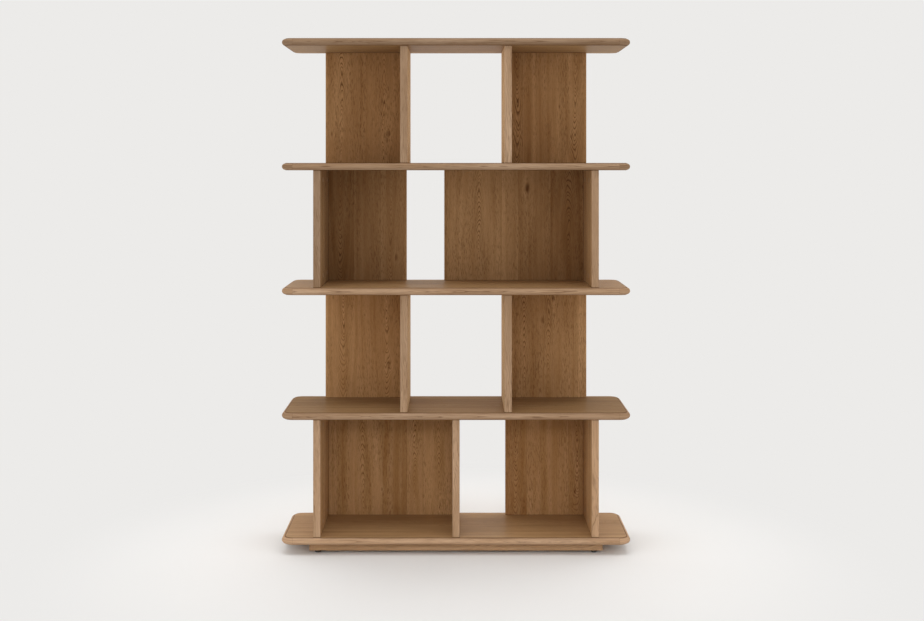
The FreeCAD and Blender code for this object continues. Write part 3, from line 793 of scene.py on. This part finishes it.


# Figures of the back panels, placed in the frame; their stave tones are partly painted light and shade
BACK_DEPTH = 0.03
BACK_TAPER = 0.08
BACK_FIGURES = {
    "tier_1_left_back": Figure(
        joints=(-0.352, -0.285),
        glue=0.0,
        tones=(0.1, -0.05, 0.12),
        hearts=(-0.418, NOWHERE, -0.263),
        depth=BACK_DEPTH,
        taper=BACK_TAPER,
        knots=(Knot(-0.247, 1.452, 0.011, 0.5), Knot(-0.453, 1.452, 0.005, 0.5)),
    ),
    "tier_1_right_back": Figure(
        joints=(0.244,),
        glue=0.4,
        tones=(0.0, 0.05),
        hearts=(0.222, 0.44),
        depth=BACK_DEPTH,
        taper=-BACK_TAPER,
        knots=(Knot(0.422, 1.443, 0.006, 0.5), Knot(0.378, 1.549, 0.004, 0.5)),
    ),
    "tier_2_left_back": Figure(
        joints=(-0.372, -0.275),
        glue=0.15,
        tones=(-0.35, 0.0, 0.35),
        hearts=(-0.422, NOWHERE, -0.24),
        depth=BACK_DEPTH,
        taper=-BACK_TAPER,
        knots=(Knot(-0.217, 1.0, 0.008, 0.5),),
    ),
    "tier_2_right_back": Figure(
        joints=(0.167, 0.226, 0.345),
        glue=0.15,
        tones=(0.4, 0.55, 0.1, -0.35),
        hearts=(0.086, NOWHERE, NOWHERE, 0.41),
        depth=BACK_DEPTH,
        taper=BACK_TAPER,
        knots=(Knot(0.261, 1.253, 0.012, 0.8),),
    ),
    "tier_3_left_back": Figure(
        joints=(-0.352,),
        glue=0.0,
        tones=(0.05, 0.05),
        hearts=(-0.413, -0.25),
        depth=BACK_DEPTH,
        taper=-BACK_TAPER,
        knots=(Knot(-0.245, 0.612, 0.01, 0.5), Knot(-0.333, 0.79, 0.004, 0.5)),
    ),
    "tier_3_right_back": Figure(
        joints=(0.322, 0.352, 0.43),
        glue=0.2,
        tones=(0.05, -0.1, 0.12, 0.35),
        hearts=(0.25, 0.337, NOWHERE, NOWHERE),
        depth=BACK_DEPTH,
        taper=BACK_TAPER,
        knots=(Knot(0.3164, 0.771, 0.008, 0.5), Knot(0.354, 0.85, 0.007, 0.5)),
    ),
    "tier_4_left_back": Figure(
        joints=(-0.267, -0.181, -0.12),
        glue=0.5,
        tones=(0.12, -0.28, 0.12, 0.22),
        hearts=(-0.34, NOWHERE, -0.15, -0.06),
        depth=BACK_DEPTH,
        taper=BACK_TAPER,
        knots=(Knot(-0.27, 0.154, 0.004, 0.5),),
    ),
    "tier_4_right_back": Figure(
        joints=(0.257, 0.41),
        glue=0.3,
        tones=(-0.32, 0.05, -0.25),
        hearts=(0.219, NOWHERE, 0.438),
        depth=BACK_DEPTH,
        taper=-BACK_TAPER,
        knots=(Knot(0.433, 0.146, 0.007, 0.5),),
    ),
}
# How light each back panel is beside the others: partly its own tone, partly painted shade of its tier
BACK_SHADES = {
    "tier_1_left_back": 1.03,
    "tier_1_right_back": 0.99,
    "tier_2_left_back": 0.79,
    "tier_2_right_back": 0.86,
    "tier_3_left_back": 1.1,
    "tier_3_right_back": 0.99,
    "tier_4_left_back": 1.03,
    "tier_4_right_back": 1.05,
}
# Each upright's face and edge lightness: partly its own tone, partly painted light and shade
UPRIGHTS = {
    "tier_1_left_divider": Upright(-0.06, 1.06, 0.9),
    "tier_1_right_divider": Upright(0.03, 1.15, 1.06),
    "tier_2_left_side": Upright(0.02, 0.75, 0.77),
    "tier_2_right_side": Upright(-0.08, 1.04, 1.05),
    "tier_3_left_divider": Upright(0.05, 1.0, 0.97),
    "tier_3_right_divider": Upright(-0.03, 1.02, 0.97),
    "tier_4_left_side": Upright(-0.05, 1.12, 1.05),
    "tier_4_middle_divider": Upright(0.0, 1.05, 1.04),
    "tier_4_right_side": Upright(0.06, 1.1, 1.21),
}
# Board and lipping lightness: partly own tone, partly painted shade and light where each shelf sits
SHELVES = {
    "top_shelf": Shelf(0.03, 0.9, 0.74, 0.013),
    "upper_shelf": Shelf(-0.05, 1.0, 0.95, 0.02),
    "middle_shelf": Shelf(0.06, 1.1, 1.19, 0.018),
    "lower_shelf": Shelf(-0.02, 0.79, 0.93, 0.005),
    "bottom_shelf": Shelf(0.04, 1.08, 1.21, 0.03),
}
# The axes along, across and through the grain of each kind of board
PANEL_GRAIN = "zxy"
UPRIGHT_GRAIN = "zyx"
RAIL_GRAINS = {
    "plinth_front_rail": "xzy",
    "plinth_rear_rail": "xzy",
    "plinth_left_rail": "yzx",
    "plinth_middle_rail": "yzx",
    "plinth_right_rail": "yzx",
}
# Where the oak of the lipping's rear strip and ends lies in the log, from that of its front strip
REAR_STRIP_ACROSS = 0.4
END_ALONG = 3.0
# Distance from the joint between a strip and an end, and how dark the joint is
LIPPING_JOINT = (0.0002, 0.0009)
LIPPING_JOINT_COVER = 0.5
# Figures of the other boards, from the board's middle; uprights and shelves get hearts of their own
UPRIGHT_FIGURE = Figure((-0.062, 0.048), 0.3, (0.0, 0.1, -0.08), (NOWHERE,), 0.04, 0.06)
SHELF_FIGURE = Figure((-0.081, 0.007, 0.094), 0.0, (0.0, 0.06, -0.05, 0.03), (NOWHERE,), 0.05, 0.03)
LIPPING_FIGURE = Figure(
    (REAR_STRIP_ACROSS / 2,), 0.0, (0.0, 0.0), (0.002, REAR_STRIP_ACROSS + 0.004), 0.03, 0.012
)
RAIL_FIGURE = Figure((), 0.0, (0.0,), (0.02,), 0.06, 0.03)
# The first board's seed of each kind, and the step to the next board
BACK_SEED = 11.0
UPRIGHT_SEED = 71.0
SHELF_SEED = 131.0
LIPPING_SEED = 171.0
RAIL_SEED = 211.0
SEED_STEP = 5
# The most that lies between an upright's face and a panel's end that stands against it
TOUCHING = 0.001


def middle_of(name):
    low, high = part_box(name)
    return tuple((low + high) / 2)


def local_figure(figure, grain, centre):
    """A figure moved from the frame to the board's own middle."""
    middle = dict(zip("xyz", centre))
    along, across = middle[grain[0]], middle[grain[1]]
    knots = []
    for knot in figure.knots:
        knots.append(knot._replace(across=knot.across - across, along=knot.along - along))
    return figure._replace(
        joints=tuple(joint - across for joint in figure.joints),
        hearts=tuple(heart - across for heart in figure.hearts),
        knots=tuple(knots),
    )


def run_of_grain(making, grain, centre):
    """The place along, across and through the grain, from the board's middle."""
    build = making.build
    axes = dict(zip("xyz", build.parts(making.position)))
    middle = dict(zip("xyz", centre))
    return tuple(build.minus(axes[axis], middle[axis]) for axis in grain)


def touches(name, end):
    """Whether an upright stands against this end of a panel: 0 for the low end, 1 for the high one."""
    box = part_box(name)
    for upright in UPRIGHTS:
        low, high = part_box(upright)
        same_tier = low[2] < box[1][2] and high[2] > box[0][2]
        face = high[0] if end == 0 else low[0]
        if same_tier and abs(face - box[end][0]) < TOUCHING:
            return True
    return False


def standing_seam_shade(making, name, ends):
    """Joint line and painted corner shade at a standing board's top, foot and touching ends."""
    low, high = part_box(name)
    low = (low[0] if 0 in ends else -NOWHERE, -NOWHERE, low[2])
    high = (high[0] if 1 in ends else NOWHERE, NOWHERE, high[2])
    corners = {"Position": making.position, "Low corner": low, "High corner": high}
    return making.build.place(SEAM_SHADES, corners)["Seam"]


def two_oaks(making, place, low, high, first, second):
    """The second oak, with the first one's colours where place is below low, and a change up to high."""
    build = making.build
    share = build.rise(place, low, high)
    light = build.blend(share, first.light, second.light)
    dark = build.blend(share, first.dark, second.dark)
    return second._replace(light=light, dark=dark)


def dress_back(name, seed, figure, front, rear):
    """A back panel: its front in oak darkened as painted niche shade, its rear in the plain oak."""
    making = new_material(f"oak_{name}")
    centre = middle_of(name)
    low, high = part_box(name)
    depth = making.build.parts(making.position)["Y"]
    oak = two_oaks(making, depth, low[1] + PANEL_EDGE, high[1] - PANEL_EDGE, front, rear)
    seam_shade = standing_seam_shade(making, name, [end for end in (0, 1) if touches(name, end)])
    run = run_of_grain(making, PANEL_GRAIN, centre)
    lay_oak(making, name, run, seam_shade, seed, local_figure(figure, PANEL_GRAIN, centre), oak)


def dress_upright(name, seed, figure, oak, banding):
    """An upright, its front and rear edges less golden than its faces, as painted light."""
    making = new_material(f"oak_{name}")
    build = making.build
    low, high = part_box(name)
    depth = build.parts(making.position)["Y"]
    inset = build.math("MINIMUM", build.minus(depth, low[1]), build.minus(high[1], depth))
    oak = two_oaks(making, inset, EDGE_LIGHT_WIDTH - EDGE_LIGHT_LINE, EDGE_LIGHT_WIDTH + EDGE_LIGHT_LINE, banding, oak)
    seam_shade = standing_seam_shade(making, name, ())
    lay_oak(making, name, run_of_grain(making, UPRIGHT_GRAIN, middle_of(name)), seam_shade, seed, figure, oak)


def dress_rail(name, seed, grain):
    """A rail of the plinth, with no joint line or painted corner shade of its own."""
    making = new_material(f"oak_{name}")
    run = run_of_grain(making, grain, middle_of(name))
    lay_oak(making, name, run, 0.0, seed, RAIL_FIGURE, PLINTH_OAK)


def shelf_outline(making, name):
    """The place from a shelf's middle, half the shelf's size, and the inset and groove of its outline."""
    build = making.build
    low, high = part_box(f"{name}_edge")
    half = (high - low) / 2
    middle = tuple((low + high) / 2)
    from_middle = {0: making.position, 1: middle}
    local = build.add("ShaderNodeVectorMath", from_middle, operation="SUBTRACT").outputs[0]
    outline = build.place(
        OUTLINE,
        {
            "Position": local,
            "Half length": half[0],
            "Half depth": half[1],
            "Corner radius": LIPPING_CORNER,
            "Lipping width": LIPPING_WIDTH,
        },
    )
    return local, half, outline


def dress_shelf(name, seed, heart, oak):
    """A shelf's board, its grain along the shelf, with the groove line and its painted shade by the
    lipping.
    """
    making = new_material(f"oak_{name}")
    local, _, outline = shelf_outline(making, name)
    run = tuple(making.build.parts(local))
    lay_oak(making, name, run, outline["Groove shade"], seed, SHELF_FIGURE._replace(hearts=(heart,)), oak)


def dress_lipping(name, seed, oak):
    """The lipping round a shelf: its grain runs along the front and rear strips and round the ends."""
    making = new_material(f"oak_{name}_edge")
    build = making.build
    local, half, outline = shelf_outline(making, name)
    x, y, z = build.parts(local)
    past = build.minus(build.math("ABSOLUTE", x), half[0] - LIPPING_CORNER)
    on_end = build.math("GREATER_THAN", past, 0.0)
    along = build.choose(on_end, x, build.plus(y, END_ALONG))
    on_rear_strip = build.times(build.math("GREATER_THAN", y, 0.0), build.minus(1.0, on_end))
    across = build.plus(z, build.choose(on_rear_strip, 0.0, REAR_STRIP_ACROSS))
    joint = build.fall(build.math("ABSOLUTE", past), *LIPPING_JOINT)
    # The dark joint between strip and end, and the groove line widened as painted shade of the rounded edge
    seam_shade = build.math("MAXIMUM", outline["Groove shade"], build.times(joint, LIPPING_JOINT_COVER))
    run = (along, across, outline["Inset"])
    lay_oak(making, f"{name}_edge", run, seam_shade, seed, LIPPING_FIGURE, oak, LIPPING_RING_WIDTH)


def dress_boards():
    for index, (name, figure) in enumerate(BACK_FIGURES.items()):
        front, rear = (shaded(oak, BACK_SHADES[name]) for oak in (NICHE_SHADED_OAK, REAR_OAK))
        dress_back(name, BACK_SEED + SEED_STEP * index, figure, front, rear)
    for index, (name, upright) in enumerate(UPRIGHTS.items()):
        figure = UPRIGHT_FIGURE._replace(hearts=(upright.heart,))
        oak = shaded(SIDE_OAK if name.endswith("_side") else DIVIDER_OAK, upright.faces)
        banding = shaded(FRONT_LIT_EDGE_OAK, upright.banding)
        dress_upright(name, UPRIGHT_SEED + SEED_STEP * index, figure, oak, banding)
    for index, (name, shelf) in enumerate(SHELVES.items()):
        oak = shaded(SHELF_OAK, shelf.board)._replace(gloss=shelf.gloss)
        dress_shelf(name, SHELF_SEED + SEED_STEP * index, shelf.heart, oak)
        dress_lipping(name, LIPPING_SEED + SEED_STEP * index, shaded(LIPPING_OAK, shelf.lipping))
    for index, (name, grain) in enumerate(RAIL_GRAINS.items()):
        dress_rail(name, RAIL_SEED + SEED_STEP * index, grain)


METAL_RELIEF = Relief(0.00005, 0.5)
PLASTIC_RELIEF = Relief(0.00008, 0.5)


def metal_material(name, bright, dull, grain):
    """Metal with so many clouds of tone per metre."""
    making = new_material(name)
    inputs = {"Position": making.position, "Bright": bright, "Dull": dull, "Grain": grain}
    finish_shader(making, making.build.place(METAL, inputs), METAL_RELIEF)
    making.shader.inputs["Metallic"].default_value = 1.0
    return making.material


def plastic_material(name, plain, rubbed):
    making = new_material(name)
    inputs = {"Position": making.position, "Plain": plain, "Rubbed": rubbed}
    finish_shader(making, making.build.place(MOULDED, inputs), PLASTIC_RELIEF)
    return making.material


# Beech: its colours, its clouds per metre, its rays with their rates, its roughness and its relief
BEECH_PALE = paint(222, 187, 148)
BEECH_DEEP = paint(205, 166, 126)
BEECH_RAY = paint(160, 112, 76)
BEECH_CLOUDS = 60.0
RAY_RATES = (900.0, 260.0)
RAY_LEVEL = (0.58, 0.7)
RAY_COVER = 0.5
BEECH_ROUGHNESS = 0.58
RAY_ROUGHNESS = 0.1
BEECH_RELIEF = Relief(0.0001, 0.5)


def beech_material(name):
    """Plain beech with the short brown flecks of its rays."""
    making = new_material(name)
    build = making.build
    ray_place = build.drawn_out(*build.parts(making.position), RAY_RATES)
    rays = build.rise(build.noise(ray_place, detail=1.0)[0], *RAY_LEVEL)
    cloud = build.noise(build.scaled(making.position, BEECH_CLOUDS), detail=3.0)[0]
    wood = build.blend(cloud, BEECH_DEEP, BEECH_PALE)
    surface = {
        "Colour": build.blend(build.times(rays, RAY_COVER), wood, BEECH_RAY),
        "Roughness": build.plus(BEECH_ROUGHNESS, build.times(rays, RAY_ROUGHNESS)),
        "Height": rays,
    }
    finish_shader(making, surface, BEECH_RELIEF)
    return making.material


# Clouds of tone per metre on drawn steel and on cast metal
STEEL_CLOUDS = 420.0
CAST_CLOUDS = 700.0


def dress_fittings():
    steel = metal_material("zinc_plated_steel", paint(205, 208, 212), paint(168, 172, 178), STEEL_CLOUDS)
    cast = metal_material("cast_zinc", paint(178, 180, 184), paint(140, 142, 147), CAST_CLOUDS)
    cap = plastic_material("oak_brown_plastic", paint(158, 123, 88), paint(172, 138, 104))
    glide = plastic_material("black_plastic", paint(28, 27, 26), paint(46, 45, 44))
    beech = beech_material("beech")
    endings = {
        "_cam_bolts": steel,
        "_cams": cast,
        "_cam_caps": cap,
        "_dowels": beech,
        "plinth_screws": steel,
        "floor_glides": glide,
    }
    for name in nodes:
        for ending, material in endings.items():
            if name.endswith(ending):
                cover(name, material)


BACKDROP = (0.84, 0.83, 0.815, 1.0)
FLOOR_COLOUR = (0.82, 0.81, 0.795, 1.0)
FLOOR_ROUGHNESS = 0.9
FLOOR_GLOSS = 0.1
FLOOR_REACH = 30.0
# Where the floor runs out into the backdrop: the distances from this point
RUN_OUT_CENTRE = (0.0, -0.3, 0.0)
RUN_OUT = (0.65, 1.5)


def make_floor():
    """A wide pale floor that runs out into the backdrop."""
    mesh = bpy.data.meshes.new("floor")
    corners = [(x * FLOOR_REACH, y * FLOOR_REACH, 0.0) for x, y in ((-1, -1), (1, -1), (1, 1), (-1, 1))]
    mesh.from_pydata(corners, [], [(0, 1, 2, 3)])
    floor = bpy.data.objects.new("floor", mesh)
    bpy.context.scene.collection.objects.link(floor)
    material, build, shader, position = new_material("pale_floor")
    shader.inputs["Base Color"].default_value = FLOOR_COLOUR
    shader.inputs["Roughness"].default_value = FLOOR_ROUGHNESS
    shader.inputs["Specular IOR Level"].default_value = FLOOR_GLOSS
    ends = {0: position, 1: RUN_OUT_CENTRE}
    distance = build.add("ShaderNodeVectorMath", ends, operation="DISTANCE").outputs["Value"]
    far = build.times(build.rise(distance, *RUN_OUT), build.seen())
    glow = build.add("ShaderNodeEmission", {"Color": BACKDROP, "Strength": 1.0}).outputs[0]
    run_out = build.add("ShaderNodeMixShader", {0: far, 1: shader.outputs[0], 2: glow}).outputs[0]
    output = material.node_tree.nodes["Material Output"]
    build.feed(output.inputs["Surface"], run_out)
    mesh.materials.append(material)


AMBIENT = 0.6
WHITE = (1.0, 1.0, 1.0, 1.0)


def make_world():
    """Even white light from all round, and the pale backdrop where the camera sees it."""
    world = bpy.data.worlds.new("studio")
    bpy.context.scene.world = world
    world.use_nodes = True
    build = ShaderTree(world.node_tree)
    light = world.node_tree.nodes["Background"]
    light.inputs["Color"].default_value = WHITE
    light.inputs["Strength"].default_value = AMBIENT
    backdrop = build.add("ShaderNodeBackground", {"Color": BACKDROP, "Strength": 1.0})
    mix = build.add("ShaderNodeMixShader", {0: build.seen(), 1: light.outputs[0], 2: backdrop.outputs[0]})
    output = world.node_tree.nodes["World Output"]
    build.feed(output.inputs["Surface"], mix.outputs[0])


MIDDLE = (0.0, 0.0, 0.9)
PLINTH_FRONT = (0.0, -0.1, 0.12)
SOFTBOXES = {
    "rear_softbox": Softbox((0.0, 3.4, 1.2), MIDDLE, 5.0, 2.4, 75.0, mirrored=False),
    "rear_left_softbox": Softbox((-3.2, 2.8, 1.3), MIDDLE, 2.6, 2.4, 40.0, mirrored=False),
    "rear_right_softbox": Softbox((3.2, 2.8, 1.3), MIDDLE, 2.6, 2.4, 40.0, mirrored=False),
    "left_softbox": Softbox((-3.6, -3.0, 1.4), MIDDLE, 2.6, 2.6, 22.5),
    "right_softbox": Softbox((3.6, -3.0, 1.4), MIDDLE, 2.6, 2.6, 22.5),
    "top_softbox": Softbox((0.0, -0.6, 4.2), MIDDLE, 4.0, 3.0, 75.0),
    "low_softbox": Softbox((0.0, -2.6, 1.2), PLINTH_FRONT, 2.2, 0.3, 0.9, spread=29.0),
}


def make_softbox(name, box):
    lamp = bpy.data.lights.new(name, "AREA")
    lamp.shape = "RECTANGLE"
    lamp.size = box.width
    lamp.size_y = box.height
    lamp.energy = box.power
    lamp.spread = math.radians(box.spread)
    softbox = bpy.data.objects.new(name, lamp)
    softbox.location = box.place
    aim = Vector(box.target) - Vector(box.place)
    softbox.rotation_euler = aim.to_track_quat("-Z", "Y").to_euler()
    softbox.visible_camera = False
    softbox.visible_glossy = box.mirrored
    bpy.context.scene.collection.objects.link(softbox)


def make_lights():
    make_world()
    for name, box in SOFTBOXES.items():
        make_softbox(name, box)


# In the photograph's pixels: its width, how far from its middle the straight-on lines meet, and the focal
# length
PHOTO_WIDTH = 924
VANISHING_RIGHT = -6.0
VANISHING_UP = 145.5
FOCAL_PIXELS = 1369.0
CAMERA_PLACE = (0.0, -4.860, 1.337)
STRAIGHT_ON = (0.0, 1.0, 0.0)
SENSOR_WIDTH = 36.0


def make_camera():
    """A level camera, square to the front, shifted as the photograph is framed."""
    lens = bpy.data.cameras.new("camera")
    lens.sensor_width = SENSOR_WIDTH
    lens.lens = FOCAL_PIXELS * SENSOR_WIDTH / PHOTO_WIDTH
    lens.shift_x = -VANISHING_RIGHT / PHOTO_WIDTH
    lens.shift_y = -VANISHING_UP / PHOTO_WIDTH
    camera = bpy.data.objects.new("camera", lens)
    camera.location = CAMERA_PLACE
    camera.rotation_euler = Vector(STRAIGHT_ON).to_track_quat("-Z", "Y").to_euler()
    bpy.context.scene.collection.objects.link(camera)
    bpy.context.scene.camera = camera


bpy.context.scene.view_settings.view_transform = "Standard"
dress_boards()
dress_fittings()
make_floor()
make_lights()
make_camera()
